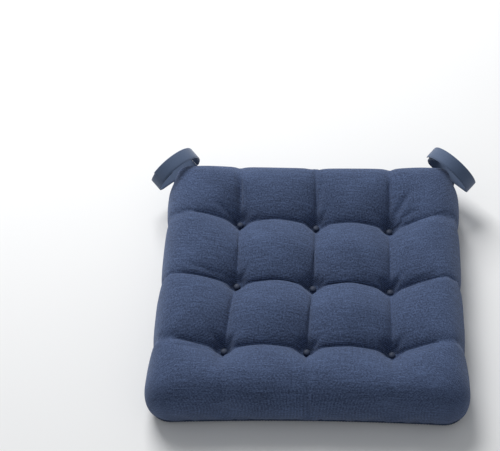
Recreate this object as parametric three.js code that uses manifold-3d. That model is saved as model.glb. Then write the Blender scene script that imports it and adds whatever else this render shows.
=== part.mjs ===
// Chair seat pad: a square fibre-filled cushion, button-tufted three by three, with a
// hook-and-loop strap loop on each rear corner.
//
// Units are millimetres and +Z is up. The strap side is +Y. The origin is at the centre
// of the bounding box, on the surface that the pad rests on.

import * as THREE from 'three';
import { mergeVertices } from 'three/addons/utils/BufferGeometryUtils.js';
import Module from 'manifold-3d';

// Pad.
const padWidth = 440;          // along X, corner to corner at the widest level
const padDepth = 428;          // along Y, corner to corner at the widest level
const padHeight = 75;          // crown of the puffs above the resting surface
const frontCornerRadius = 34;  // in plan, at the widest level
const frontCornerTaper = 0.4;  // how fast that radius shrinks as the outline draws in
const rearCornerRadius = 58;
const sidePull = 6;            // how far the middle of a side is drawn in between its corners
const bulgeLevel = 30;         // height of the widest level
const shoulderReach = 44;      // how far in the rounded upper edge runs
const footReach = 14;          // how far in the rounded lower edge runs
const clothThickness = 1.2;
const fitGap = 0.3;            // clearance between pieces that touch

// Perimeter seam, where the top cover meets the bottom cover.
const seamLevel = 7;
const seamThickness = 1.3;
const seamAllowance = 10;

// Tufts.
const tuftsAcross = 3;
const tuftPitchX = 110;
const tuftPitchY = 109;
const tuftRowShift = -5;       // the grid sits slightly towards the front
// How far each tuft was sewn off the even grid, [across, deep], row by row from the back.
const tuftDrift = [
	[[4, 6], [6, 1], [3, -5]],
	[[6, 3], [4, 0], [3, -5]],
	[[-5, 2], [-2, 2], [4, -1]],
];
const tuftSeatLevel = 34;      // top buttons sit here
const tuftSeatRadius = 6.5;
const tuftMouthRadius = 49;    // where a tuft's hollow meets the crown
const hollowPower = 1.8;       // how steeply a tuft's hollow falls beside its button
const underSeatLevel = 10;     // bottom buttons hang from here
const underMouthRadius = 30;
const buttonRadius = 5;
const buttonHeight = 4.4;
const twineRadius = 0.7;
const twineHoleRadius = 1.3;

// Strap, in a corner's own frame: X outward along the diagonal, Y along the corner, Z up.
const strapWidth = 20;
const strapThickness = 1.2;
const strapLean = THREE.MathUtils.degToRad(20);   // the loop leans in over the pad
const strapOffset = 9;         // from the corner's wall to the middle of the straight run
const chordLevel = 45;         // height of the straight run
const archRadius = 40.5;
const archCentre = new THREE.Vector2(2.5, 8);     // along the corner, and above the straight run
const archStart = THREE.MathUtils.degToRad(30);   // free end of the flap
const archEnd = THREE.MathUtils.degToRad(187);    // fold
const foldRadius = 3;
const foldGap = 1.4;           // from the fold's middle to the base's end, clear of the opened flap
const tapeThickness = 1;
const tapeMargin = 1.5;        // bare strap on each side of a tape
const tapeSpan = THREE.MathUtils.degToRad(30);    // length of closure, as an angle of the arch
const anchorDepth = 9;         // how far the stem is sewn in past the wall
const hingeClearance = 0.6;    // from the wall to the stem's free part

// How finely curves are divided.
const cornerDivisions = 4;
const sideDivisions = 4;
const hollowSides = 10;

const wasm = await Module();
wasm.setup();

// ---- solids -------------------------------------------------------------------------

function toManifold(geometry) {
	const bare = geometry.index ? geometry.toNonIndexed() : geometry.clone();
	bare.deleteAttribute('normal');
	bare.deleteAttribute('uv');
	const merged = mergeVertices(bare, 1e-4);
	return new wasm.Manifold(new wasm.Mesh({
		numProp: 3,
		vertProperties: new Float32Array(merged.attributes.position.array),
		triVerts: new Uint32Array(merged.index.array),
	}));
}

function toGeometry(manifold) {
	const mesh = manifold.getMesh();
	const geometry = new THREE.BufferGeometry();
	geometry.setAttribute('position', new THREE.BufferAttribute(mesh.vertProperties, 3));
	geometry.setIndex(new THREE.BufferAttribute(mesh.triVerts, 1));
	return geometry;
}

// A closed solid through rings of points that all run the same way round, lowest ring first.
function loft(rings) {
	const count = rings[0].length;
	const positions = rings.flat().flatMap((point) => [point.x, point.y, point.z]);
	const index = [];
	for (let level = 0; level < rings.length - 1; level++) {
		for (let i = 0; i < count; i++) {
			const a = level * count + i;
			const b = level * count + (i + 1) % count;
			index.push(a, b, b + count, a, b + count, a + count);
		}
	}
	const caps = [rings[0], rings.at(-1)].map((ring) => THREE.ShapeUtils.triangulateShape(ring, []));
	const top = (rings.length - 1) * count;
	caps[0].forEach(([a, b, c]) => index.push(a, c, b));
	caps[1].forEach(([a, b, c]) => index.push(top + a, top + b, top + c));
	const geometry = new THREE.BufferGeometry();
	geometry.setAttribute('position', new THREE.Float32BufferAttribute(positions, 3));
	geometry.setIndex(index);
	return geometry;
}

function turned(profile, segments) {
	return new THREE.LatheGeometry(profile, segments).rotateX(Math.PI / 2);
}

function rod(radius, low, high, sides) {
	return new THREE.CylinderGeometry(radius, radius, high - low, sides)
		.rotateX(Math.PI / 2).translate(0, 0, (low + high) / 2);
}

function box(low, high) {
	const size = high.clone().sub(low);
	const middle = high.clone().add(low).multiplyScalar(0.5);
	return new THREE.BoxGeometry(size.x, size.y, size.z).translate(middle.x, middle.y, middle.z);
}

// ---- pad ----------------------------------------------------------------------------

// The pad's outline in plan, drawn in from the widest level by an inset. Each side bows in
// between its corners.
function outline(inset) {
	const x = padWidth / 2 - inset;
	const y = padDepth / 2 - inset;
	const rear = rearCornerRadius - inset;
	const front = frontCornerRadius - inset * frontCornerTaper;
	const quadrants = [[1, 1, rear], [-1, 1, rear], [-1, -1, front], [1, -1, front]];
	const corners = quadrants.map(([sideX, sideY, radius], i) =>
		arcPoints(new THREE.Vector2(sideX * (x - radius), sideY * (y - radius)), radius,
			i * Math.PI / 2, (i + 1) * Math.PI / 2, cornerDivisions));
	return corners.flatMap((corner, i) => {
		const from = corner.at(-1);
		const to = corners[(i + 1) % corners.length][0];
		const facing = (i + 1) * Math.PI / 2;
		const pulled = from.clone().add(to).multiplyScalar(0.5)
			.sub(new THREE.Vector2(Math.cos(facing), Math.sin(facing)).multiplyScalar(2 * sidePull));
		const side = new THREE.QuadraticBezierCurve(from, pulled, to).getPoints(sideDivisions);
		return [...corner, ...side.slice(1, -1)];
	});
}

// How far the wall has drawn in at a level, on the surface that lies an offset inside.
function wallInset(angle, reach, rise, offset) {
	return {
		inset: reach - (reach - offset) * Math.cos(angle),
		lift: (rise - offset) * Math.sin(angle),
	};
}

function insetAtLevel(level) {
	const below = level < bulgeLevel;
	const reach = below ? footReach : shoulderReach;
	const rise = below ? bulgeLevel : padHeight - bulgeLevel;
	return wallInset(Math.asin(Math.abs(level - bulgeLevel) / rise), reach, rise, 0).inset;
}

// The mouth of a tuft, steep beside the button and flat where it meets the crown.
function tuftHollow(seat, mouth, radius, offset, steps) {
	const inward = Math.sign(mouth - seat);
	const profile = [new THREE.Vector2(0, seat - inward * offset)];
	for (let i = 0; i <= steps; i++) {
		const u = i / steps;
		profile.push(new THREE.Vector2(
			tuftSeatRadius + (radius - tuftSeatRadius) * u + offset,
			mouth - (mouth - seat) * (1 - u) ** hollowPower - inward * offset,
		));
	}
	const clear = mouth + inward * 5;
	profile.push(new THREE.Vector2(radius + offset, clear), new THREE.Vector2(0, clear));
	return turned(inward > 0 ? profile : profile.reverse(), hollowSides);
}

const tufts = [];
const middle = (tuftsAcross - 1) / 2;
for (let row = 0; row < tuftsAcross; row++) {
	for (let column = 0; column < tuftsAcross; column++) {
		const [driftX, driftY] = tuftDrift[row]?.[column] ?? [0, 0];
		tufts.push({
			name: `${['back', 'middle', 'front'][row]}_${['left', 'centre', 'right'][column]}`,
			x: (column - middle) * tuftPitchX + driftX,
			y: (middle - row) * tuftPitchY + tuftRowShift + driftY,
		});
	}
}

// The whole cushion, drawn in all round by an offset.
function cushion(offset) {
	const rings = [];
	for (let i = 3; i >= 0; i--) {
		rings.push({ ...wallInset(i / 3 * Math.PI / 2, footReach, bulgeLevel, offset), side: -1 });
	}
	for (let i = 1; i <= 5; i++) {
		rings.push({ ...wallInset(i / 5 * Math.PI / 2, shoulderReach, padHeight - bulgeLevel, offset), side: 1 });
	}
	const slab = loft(rings.map(({ inset, lift, side }) =>
		outline(inset).map((point) => new THREE.Vector3(point.x, point.y, bulgeLevel + side * lift))));
	let solid = toManifold(slab);
	for (const { x, y } of tufts) {
		const above = tuftHollow(tuftSeatLevel, padHeight, tuftMouthRadius, offset, 4);
		const below = tuftHollow(underSeatLevel, 0, underMouthRadius, offset, 3);
		solid = solid.subtract(toManifold(above.translate(x, y, 0)));
		solid = solid.subtract(toManifold(below.translate(x, y, 0)));
	}
	return solid;
}

// A flat ring that follows the seam, with a clearance all round it.
function seamRing(clearance) {
	const wall = insetAtLevel(seamLevel);
	const ring = new THREE.Shape(outline(wall - clearance));
	ring.holes.push(new THREE.Path(outline(wall + seamAllowance + clearance)));
	const height = seamThickness + 2 * clearance;
	return new THREE.ExtrudeGeometry(ring, { depth: height, bevelEnabled: false })
		.translate(0, 0, seamLevel - height / 2);
}

// ---- strap --------------------------------------------------------------------------

const strapHeight = { low: seamLevel + seamThickness / 2 + fitGap };
strapHeight.high = strapHeight.low + strapThickness;
const hingeLevel = (strapHeight.low + strapHeight.high) / 2;
const hingeReach = hingeClearance - insetAtLevel(strapHeight.high);

function atAngle(angle, radius) {
	return new THREE.Vector2(
		archCentre.x + radius * Math.cos(angle),
		archCentre.y + radius * Math.sin(angle),
	);
}

function arcPoints(centre, radius, from, to, steps) {
	return Array.from({ length: steps + 1 }, (unused, i) => {
		const angle = from + (to - from) * i / steps;
		return new THREE.Vector2(centre.x + radius * Math.cos(angle), centre.y + radius * Math.sin(angle));
	});
}

// A ribbon's outline seen edge-on, of even thickness about the line that it follows.
function ribbonShape(line, thickness) {
	const normals = line.map((point, i) => {
		const along = line[Math.min(i + 1, line.length - 1)].clone().sub(line[Math.max(i - 1, 0)]).normalize();
		return new THREE.Vector2(-along.y, along.x);
	});
	const left = line.map((point, i) => point.clone().addScaledVector(normals[i], thickness / 2));
	const right = line.map((point, i) => point.clone().addScaledVector(normals[i], -thickness / 2));
	return new THREE.Shape([...left, ...right.reverse()]);
}

// The loop's ribbons are seen edge-on from outside the corner. The loop leans in over the
// pad, and its width is square to that lean. The stem's width runs along the corner.
const upLoop = new THREE.Vector3(-Math.sin(strapLean), 0, Math.cos(strapLean));
const acrossLoop = new THREE.Vector3(Math.cos(strapLean), 0, Math.sin(strapLean));
const alongCorner = new THREE.Vector3(0, 1, 0);
const outward = new THREE.Vector3(1, 0, 0);
const up = new THREE.Vector3(0, 0, 1);

function loopRibbon(line, thickness, width) {
	return new THREE.ExtrudeGeometry(ribbonShape(line, thickness), { depth: width, bevelEnabled: false })
		.translate(0, 0, -width / 2)
		.applyMatrix4(new THREE.Matrix4().makeBasis(alongCorner, upLoop, acrossLoop))
		.translate(strapOffset, 0, chordLevel);
}

function stemRibbon(line, thickness) {
	return new THREE.ExtrudeGeometry(ribbonShape(line, thickness), { depth: strapWidth, bevelEnabled: false })
		.translate(0, 0, -strapWidth / 2)
		.applyMatrix4(new THREE.Matrix4().makeBasis(outward, up, alongCorner.clone().negate()));
}

const layerStep = (strapThickness + tapeThickness) / 2 + fitGap;
const hookRadius = archRadius - layerStep;
const loopTapeRadius = hookRadius - tapeThickness - fitGap;
const closureRadius = loopTapeRadius - layerStep;
const tapeStart = archStart + tapeMargin / archRadius;
const foldCentre = atAngle(archEnd, archRadius - foldRadius);

function flapLine() {
	return arcPoints(archCentre, archRadius, archStart, archEnd, 14);
}

// From the fold, straight under the arch, then up and round inside the flap's free end.
function baseLine() {
	const turnCentre = new THREE.Vector2(archCentre.x + closureRadius - archCentre.y, archCentre.y);
	const upturn = arcPoints(turnCentre, archCentre.y, -Math.PI / 2, 0, 4);
	const closure = arcPoints(archCentre, closureRadius, 0, tapeStart + tapeSpan, 8);
	return [new THREE.Vector2(foldCentre.x + foldGap, 0), ...upturn, ...closure.slice(1)];
}

// Out of the seam, up over the bulge of the wall and flat under the straight run.
function stemLine() {
	const clear = hingeClearance + strapThickness / 2;
	const slope = Math.tan(strapLean);
	const underChord = (reach) => chordLevel + (reach - strapOffset) * slope
		- (strapThickness + fitGap) / Math.cos(strapLean);
	return [
		new THREE.Vector2(hingeReach + strapThickness / 2, hingeLevel),
		new THREE.Vector2(clear, hingeLevel + 6),
		new THREE.Vector2(clear + 0.4, bulgeLevel),
		new THREE.Vector2(clear + 1, underChord(strapOffset - 8) - 5),
		new THREE.Vector2(strapOffset - 6, underChord(strapOffset - 6)),
		new THREE.Vector2(strapOffset + 8, underChord(strapOffset + 8)),
	];
}

function anchorBox(clearance) {
	const half = strapWidth / 2 + clearance;
	const wall = -insetAtLevel(strapHeight.high);
	return box(
		new THREE.Vector3(wall - anchorDepth - clearance, -half, strapHeight.low - clearance),
		new THREE.Vector3(clearance > 0 ? 5 : hingeReach - fitGap, half, strapHeight.high + clearance),
	);
}

// ---- materials ----------------------------------------------------------------------

const finish = (color, roughness) => new THREE.MeshStandardMaterial({ color, roughness, metalness: 0 });
const clothFinish = finish(0x46536f, 0.95);
const liningFinish = finish(0x3d4861, 0.95);
const fillFinish = finish(0xe9e7e0, 1);
const strapFinish = finish(0x586a8a, 0.8);
const tapeFinish = finish(0x16181d, 0.9);
const buttonFinish = finish(0x28303f, 0.6);
const threadFinish = finish(0x323c54, 0.85);

// ---- assembly -----------------------------------------------------------------------

const group = new THREE.Group();

function add(parent, name, geometry, material) {
	const mesh = new THREE.Mesh(geometry, material);
	mesh.name = name;
	parent.add(mesh);
	return mesh;
}

const corners = [
	{ side: 'right', turn: Math.PI / 4, x: 1 },
	{ side: 'left', turn: 3 * Math.PI / 4, x: -1 },
].map(({ side, turn, x }) => {
	const frame = new THREE.Group();
	const inner = rearCornerRadius * (1 - Math.SQRT1_2);
	frame.position.set(x * (padWidth / 2 - inner), padDepth / 2 - inner, 0);
	frame.rotation.z = turn;
	frame.updateMatrix();
	return { side, frame };
});

const shell = cushion(0).subtract(cushion(clothThickness));
const reach = Math.max(padWidth, padDepth);
const topEdge = seamLevel + seamThickness / 2 + fitGap;
const bottomEdge = seamLevel - seamThickness / 2 - fitGap;
const belowSeam = toManifold(box(new THREE.Vector3(-reach, -reach, -10),
	new THREE.Vector3(reach, reach, topEdge)));
const aboveSeam = toManifold(box(new THREE.Vector3(-reach, -reach, bottomEdge),
	new THREE.Vector3(reach, reach, padHeight + 10)));

let topCover = shell.subtract(belowSeam);
let bottomCover = shell.subtract(aboveSeam);
let undersides = shell.intersect(aboveSeam);
let fill = cushion(clothThickness + fitGap).subtract(toManifold(seamRing(fitGap)));

// The tufts' undersides rise above the seam level, so they are cut from the shell apart.
const underTufts = tufts.map(({ x, y }) =>
	toManifold(rod(underMouthRadius + 4, -5, (tuftSeatLevel + underSeatLevel) / 2, 16).translate(x, y, 0)));
for (const zone of underTufts) {
	bottomCover = bottomCover.add(undersides.intersect(zone));
	topCover = topCover.subtract(zone);
}
for (const { x, y } of tufts) {
	const hole = toManifold(rod(twineHoleRadius, -5, padHeight, 8).translate(x, y, 0));
	topCover = topCover.subtract(hole);
	bottomCover = bottomCover.subtract(hole);
	fill = fill.subtract(hole);
}
for (const { frame } of corners) {
	const slot = toManifold(anchorBox(fitGap).applyMatrix4(frame.matrix));
	topCover = topCover.subtract(slot);
	fill = fill.subtract(slot);
}

add(group, 'top_cover', toGeometry(topCover), clothFinish);
add(group, 'bottom_cover', toGeometry(bottomCover), liningFinish);
add(group, 'fibre_fill', toGeometry(fill), fillFinish);
add(group, 'perimeter_seam', seamRing(0), threadFinish);

// A button is a shallow dome on a flat back, its back towards the cloth.
function button() {
	const profile = [new THREE.Vector2(0, 0), new THREE.Vector2(buttonRadius * 0.8, 0)];
	for (let i = 0; i <= 3; i++) {
		const angle = i / 3 * Math.PI / 2;
		const rim = buttonHeight * 0.3;
		profile.push(new THREE.Vector2(
			buttonRadius * Math.cos(angle),
			rim + (buttonHeight - rim) * Math.sin(angle),
		));
	}
	profile[profile.length - 1].x = 0;
	return turned(profile, 12);
}

for (const { name, x, y } of tufts) {
	const topBack = tuftSeatLevel + fitGap;
	const underBack = underSeatLevel - fitGap;
	add(group, `top_button_${name}`, button(), buttonFinish).position.set(x, y, topBack);
	const under = add(group, `under_button_${name}`, button(), buttonFinish);
	under.position.set(x, y, underBack);
	under.rotation.x = Math.PI;
	add(group, `tufting_twine_${name}`, rod(twineRadius, underBack + fitGap, topBack - fitGap, 6), threadFinish)
		.position.set(x, y, 0);
}

for (const { side, frame } of corners) {
	group.add(frame);
	const tapeWidth = strapWidth - 2 * tapeMargin;
	const hookLine = arcPoints(archCentre, hookRadius, tapeStart, tapeStart + tapeSpan, 5);
	const loopLine = arcPoints(archCentre, loopTapeRadius, tapeStart, tapeStart + tapeSpan, 5);
	add(frame, `${side}_strap_anchor`, anchorBox(0), strapFinish);
	add(frame, `${side}_strap_stem`, stemRibbon(stemLine(), strapThickness), strapFinish);
	add(frame, `${side}_strap_base`, loopRibbon(baseLine(), strapThickness, strapWidth), strapFinish);
	add(frame, `${side}_strap_flap`, loopRibbon(flapLine(), strapThickness, strapWidth), strapFinish);
	add(frame, `${side}_hook_tape`, loopRibbon(hookLine, tapeThickness, tapeWidth), tapeFinish);
	add(frame, `${side}_loop_tape`, loopRibbon(loopLine, tapeThickness, tapeWidth), tapeFinish);
}

// Centre the bounding box over the origin.
group.updateMatrixWorld(true);
const bounds = new THREE.Box3().setFromObject(group, true);
const centre = bounds.getCenter(new THREE.Vector3());
for (const child of group.children) {
	child.position.x -= centre.x;
	child.position.y -= centre.y;
	child.position.z -= bounds.min.z;
}

export default group;
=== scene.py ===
# Chair seat pad: a fibre-filled cushion, button-tufted three by three, with a hook-and-loop
# strap loop on each rear corner. Metres, +Z up, the strap side is +Y.
import bpy
import bmesh
import math
import random
import numpy as np
from mathutils import Matrix, Vector


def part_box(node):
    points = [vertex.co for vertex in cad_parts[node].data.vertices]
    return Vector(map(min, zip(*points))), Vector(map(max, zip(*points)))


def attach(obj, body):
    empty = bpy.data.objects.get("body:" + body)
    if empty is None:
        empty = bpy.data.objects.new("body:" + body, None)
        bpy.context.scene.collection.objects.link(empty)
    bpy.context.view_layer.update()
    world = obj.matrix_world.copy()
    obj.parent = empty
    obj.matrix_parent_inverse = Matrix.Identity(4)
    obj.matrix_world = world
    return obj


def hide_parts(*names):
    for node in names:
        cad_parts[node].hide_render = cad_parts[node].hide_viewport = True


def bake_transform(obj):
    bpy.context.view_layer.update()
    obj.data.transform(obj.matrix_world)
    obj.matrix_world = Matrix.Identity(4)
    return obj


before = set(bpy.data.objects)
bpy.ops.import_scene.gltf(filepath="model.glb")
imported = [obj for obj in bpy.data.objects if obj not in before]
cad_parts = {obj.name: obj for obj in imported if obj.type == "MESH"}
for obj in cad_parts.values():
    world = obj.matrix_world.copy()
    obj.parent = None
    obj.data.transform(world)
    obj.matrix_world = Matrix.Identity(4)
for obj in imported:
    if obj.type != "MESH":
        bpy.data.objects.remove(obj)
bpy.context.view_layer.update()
print("frame loaded:", len(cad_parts), "nodes")

mm = 0.001

# ---- camera, light and floor ----

studio = {
    "aim": (-1.8 * mm, -14.0 * mm, 30 * mm),
    "distance": 1.7076,
    "elevation": 54.0,
    "yaw": 3.2,
    "roll": -2.1,
    "lens": 86.6,
    "shiftX": -0.118,
    "shiftY": 0.129,
    "floorSize": 14.0,
    "floorTone": 0.86,
    "worldStrength": 0.34,
    "keyPlace": (-0.8, 1.8, 2.0),
    "keySize": 1.5,
    "keyPower": 80.0,
    "fillPlace": (0.9, -1.9, 1.6),
    "fillSize": 2.4,
    "fillPower": 2.0,
}


def placeCamera():
    elevation = math.radians(studio["elevation"])
    yaw = math.radians(studio["yaw"])
    roll = math.radians(studio["roll"])
    back = Vector((
        math.sin(yaw) * math.cos(elevation),
        -math.cos(yaw) * math.cos(elevation),
        math.sin(elevation),
    ))
    side = Vector((math.cos(yaw), math.sin(yaw), 0))
    rise = back.cross(side)
    right = side * math.cos(roll) + rise * math.sin(roll)
    up = rise * math.cos(roll) - side * math.sin(roll)
    eye = Vector(studio["aim"]) + back * studio["distance"]
    data = bpy.data.cameras.new("studioCamera")
    data.lens = studio["lens"]
    data.shift_x = studio["shiftX"]
    data.shift_y = studio["shiftY"]
    camera = bpy.data.objects.new("studioCamera", data)
    camera.matrix_world = Matrix((
        (right.x, up.x, back.x, eye.x),
        (right.y, up.y, back.y, eye.y),
        (right.z, up.z, back.z, eye.z),
        (0, 0, 0, 1),
    ))
    bpy.context.scene.collection.objects.link(camera)
    bpy.context.scene.camera = camera


def addLamp(name, place, size, power, aim=(0, 0, 0)):
    data = bpy.data.lights.new(name, "AREA")
    data.size = size
    data.energy = power
    lamp = bpy.data.objects.new(name, data)
    lamp.location = place
    lamp.rotation_euler = (Vector(aim) - Vector(place)).to_track_quat("-Z", "Y").to_euler()
    bpy.context.scene.collection.objects.link(lamp)


placeCamera()
addLamp("keyLamp", studio["keyPlace"], studio["keySize"], studio["keyPower"])
addLamp("fillLamp", studio["fillPlace"], studio["fillSize"], studio["fillPower"])
bpy.context.scene.view_settings.view_transform = "Standard"
print("camera and lamps placed")

# ---- shader maths ----


class Wire:                                   # a socket that adds Math nodes when it is reckoned with
    def __init__(self, board, socket):
        self.board = board
        self.socket = socket

    def reckon(self, operation, *others):
        values = [self, *others]
        return self.board.add("ShaderNodeMath", {"operation": operation}, dict(enumerate(values)))

    def __add__(self, other):
        return self.reckon("ADD", other)

    def __sub__(self, other):
        return self.reckon("SUBTRACT", other)

    def __mul__(self, other):
        return self.reckon("MULTIPLY", other)

    def __truediv__(self, other):
        return self.reckon("DIVIDE", other)

    def __rsub__(self, other):
        return self.board.add("ShaderNodeMath", {"operation": "SUBTRACT"}, {0: other, 1: self})

    __radd__ = __add__
    __rmul__ = __mul__


class Board:                                  # the node tree of one material
    def __init__(self, name):
        self.material = bpy.data.materials.new(name)
        self.material.use_nodes = True
        self.tree = self.material.node_tree
        self.shader = self.tree.nodes["Principled BSDF"]

    def add(self, kind, settings=None, inputs=None, output=0):
        node = self.tree.nodes.new(kind)
        for key, value in (settings or {}).items():
            if key == "stops":
                setStops(node.color_ramp, value)
            else:
                setattr(node, key, value)
        for key, value in (inputs or {}).items():
            self.feed(node.inputs[key], value)
        return Wire(self, node.outputs[output])

    def feed(self, socket, value):
        if isinstance(value, Wire):
            self.tree.links.new(value.socket, socket)
        else:
            socket.default_value = value

    def finish(self, **values):
        for key, value in values.items():
            self.feed(self.shader.inputs[socketNames[key]], value)
        return self.material

    def coordinates(self, source, scale=(1, 1, 1), turn=(0, 0, 0)):
        place = self.add("ShaderNodeTexCoord", output=source)
        return self.add("ShaderNodeMapping", inputs={"Vector": place, "Scale": scale, "Rotation": turn})

    def noise(self, vector, scale, detail=2.0, roughness=0.5):
        return self.add("ShaderNodeTexNoise", inputs={
            "Vector": vector, "Scale": scale, "Detail": detail, "Roughness": roughness,
        })

    def ramp(self, value, *stops):
        return self.add("ShaderNodeValToRGB", {"stops": stops}, {0: value})

    def bump(self, height, strength, distance):
        return self.add("ShaderNodeBump", inputs={
            "Height": height, "Strength": strength, "Distance": distance,
        })


socketNames = {
    "colour": "Base Color",
    "roughness": "Roughness",
    "normal": "Normal",
    "sheen": "Sheen Weight",
    "sheenRoughness": "Sheen Roughness",
    "sheenTint": "Sheen Tint",
    "specular": "Specular IOR Level",
}


def setStops(ramp, stops):
    while len(ramp.elements) > 1:
        ramp.elements.remove(ramp.elements[0])
    for index, (position, tone) in enumerate(stops):
        element = ramp.elements[0] if index == 0 else ramp.elements.new(position)
        element.position = position
        element.color = tone if len(tone) == 4 else (*tone, 1)


def grey(value):
    return (value, value, value, 1)


def colour(red, green, blue):                 # from the usual 0 to 255 to Blender's linear colour
    def linear(part):
        part = part / 255
        return part / 12.92 if part <= 0.04045 else ((part + 0.055) / 1.055) ** 2.4
    return (linear(red), linear(green), linear(blue), 1)


# ---- finishes ----

clothLook = {
    "warpPitch": 1.5 * mm,
    "weftPitch": 1.7 * mm,
    "dark": colour(36, 44, 63),
    "middle": colour(57, 70, 99),
    "light": colour(91, 109, 146),
    "roughness": 0.93,
}


def slubbyCloth(name, look, contrast=1.0, source=2):
    # A loose plain weave: threads of uneven thickness, thick slubs along the weft, fine crepe grain.
    board = Board(name)
    cloth = board.coordinates(source)
    parts = board.add("ShaderNodeSeparateXYZ", inputs={0: cloth})
    across = parts
    along = Wire(board, parts.socket.node.outputs[1])
    drift = board.noise(cloth, 90.0, 2.0)
    sway = (drift - 0.5) * (1.4 * mm)
    warp = ((across + sway) * (2 * math.pi / look["warpPitch"])).reckon("SINE") * 0.5 + 0.5
    weft = ((along + sway) * (2 * math.pi / look["weftPitch"])).reckon("SINE") * 0.5 + 0.5
    grain = board.noise(cloth, 760.0, 2.0, 0.6)
    crepe = board.noise(cloth, 440.0, 1.0, 0.5)
    long = board.coordinates(source, (30, 420, 1))
    slubNoise = board.noise(long, 1.0, 3.0, 0.6)
    slub = board.ramp(slubNoise, (0.47, grey(0)), (0.66, grey(1)))
    thinNoise = board.noise(board.coordinates(source, (45, 900, 1), (0, 0, 0.02)), 1.0, 2.0, 0.5)
    thin = board.ramp(thinNoise, (0.36, grey(1)), (0.46, grey(0)))
    cloud = board.noise(cloth, 14.0, 3.0, 0.6)
    thread = warp * 0.30 + weft * 0.26 + crepe * 0.56 + grain * 0.38
    tone = thread * 0.8 + slub * 0.07 - thin * 0.06 + (cloud - 0.5) * 0.12
    spread = 0.5 / contrast
    tint = board.ramp(tone, (0.60 - spread * 0.55, look["dark"]), (0.60, look["middle"]),
                      (0.60 + spread * 0.75, look["light"]))
    height = warp * 0.35 + weft * 0.35 + crepe * 0.8 + grain * 0.4 + slub * 0.2 - thin * 0.1
    return board.finish(
        colour=tint,
        roughness=look["roughness"],
        normal=board.bump(height, 0.55, 0.5 * mm),
        sheen=0.22,
        sheenRoughness=0.55,
        sheenTint=(0.55, 0.64, 0.85, 1),
        specular=0.18,
    )


def plainCloth(name, look, source=3):
    board = Board(name)
    cloth = board.coordinates(source)
    parts = board.add("ShaderNodeSeparateXYZ", inputs={0: cloth})
    along = Wire(board, parts.socket.node.outputs[1])
    pitch = look["pitch"]
    warp = (parts * (2 * math.pi / pitch)).reckon("SINE") * 0.5 + 0.5
    weft = (along * (2 * math.pi / pitch)).reckon("SINE") * 0.5 + 0.5
    grain = board.noise(cloth, 500.0, 2.0, 0.6)
    cloud = board.noise(cloth, 18.0, 3.0, 0.6)
    tone = warp * weft * 0.5 + grain * 0.5 + (cloud - 0.5) * 0.3
    tint = board.ramp(tone, (0.15, look["dark"]), (0.85, look["light"]))
    return board.finish(
        colour=tint,
        roughness=look["roughness"],
        normal=board.bump(warp * 0.4 + weft * 0.4 + grain * 0.5, look["relief"], 0.25 * mm),
        sheen=look["sheen"],
        sheenRoughness=0.5,
        specular=look["specular"],
    )


coverFinish = slubbyCloth("slubbyNavyCloth", clothLook, 2.1)
undersideFinish = plainCloth("plainNavyLining", {
    "pitch": 1.1 * mm, "dark": colour(48, 58, 80), "light": colour(74, 88, 116),
    "roughness": 0.9, "relief": 0.5, "sheen": 0.15, "specular": 0.2,
})
strapFinish = plainCloth("slateStrapTape", {
    "pitch": 0.55 * mm, "dark": colour(68, 84, 111), "light": colour(84, 102, 131),
    "roughness": 0.72, "relief": 0.22, "sheen": 0.3, "specular": 0.3,
})
pileFinish = plainCloth("blackPile", {
    "pitch": 0.7 * mm, "dark": colour(14, 16, 21), "light": colour(36, 40, 50),
    "roughness": 0.85, "relief": 0.6, "sheen": 0.3, "specular": 0.25,
})
buttonFinish = plainCloth("darkButton", {
    "pitch": 0.8 * mm, "dark": colour(40, 49, 68), "light": colour(62, 75, 102),
    "roughness": 0.6, "relief": 0.12, "sheen": 0.1, "specular": 0.4,
})
threadFinish = plainCloth("navyThread", {
    "pitch": 0.3 * mm, "dark": colour(44, 54, 76), "light": colour(76, 90, 120),
    "roughness": 0.8, "relief": 0.4, "sheen": 0.3, "specular": 0.3,
})
fillFinish = plainCloth("whiteFibre", {
    "pitch": 4.0 * mm, "dark": colour(205, 203, 196), "light": colour(240, 239, 235),
    "roughness": 1.0, "relief": 0.8, "sheen": 0.5, "specular": 0.1,
})


def dress(piece, finish, body, slot, *nodes):
    piece.data.materials.clear()
    piece.data.materials.append(finish)
    if body:
        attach(piece, body)
    if nodes:
        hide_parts(*nodes)
    return piece


def makeFloor():
    bpy.ops.object.select_all(action="DESELECT")
    bpy.ops.mesh.primitive_plane_add(size=studio["floorSize"], location=(0, 0, -0.4 * mm))
    floor = bpy.context.object
    floor.name = "studioFloor"
    bpy.ops.object.transform_apply()
    board = Board("paleFloor")
    mottle = board.noise(board.coordinates(3), 3.0, 2.0)
    tone = studio["floorTone"]
    tint = board.ramp(mottle, (0.0, grey(tone)), (1.0, grey(tone + 0.02)))
    floor.data.materials.append(board.finish(colour=tint, roughness=0.9))
    world = bpy.data.worlds.new("softSurround")
    world.use_nodes = True
    world.node_tree.nodes["Background"].inputs[0].default_value = (0.94, 0.97, 1.0, 1)
    world.node_tree.nodes["Background"].inputs[1].default_value = studio["worldStrength"]
    bpy.context.scene.world = world


makeFloor()
print("finishes and floor ready")

# ---- the pad's covers ----

coverLow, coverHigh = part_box("top_cover")
centre = ((coverLow[0] + coverHigh[0]) / 2, (coverLow[1] + coverHigh[1]) / 2)
halfWidth = (coverHigh[0] - coverLow[0]) / 2
halfDepth = (coverHigh[1] - coverLow[1]) / 2
seamLow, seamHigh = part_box("perimeter_seam")
seamInset = halfWidth - (seamHigh[0] - seamLow[0]) / 2

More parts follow.
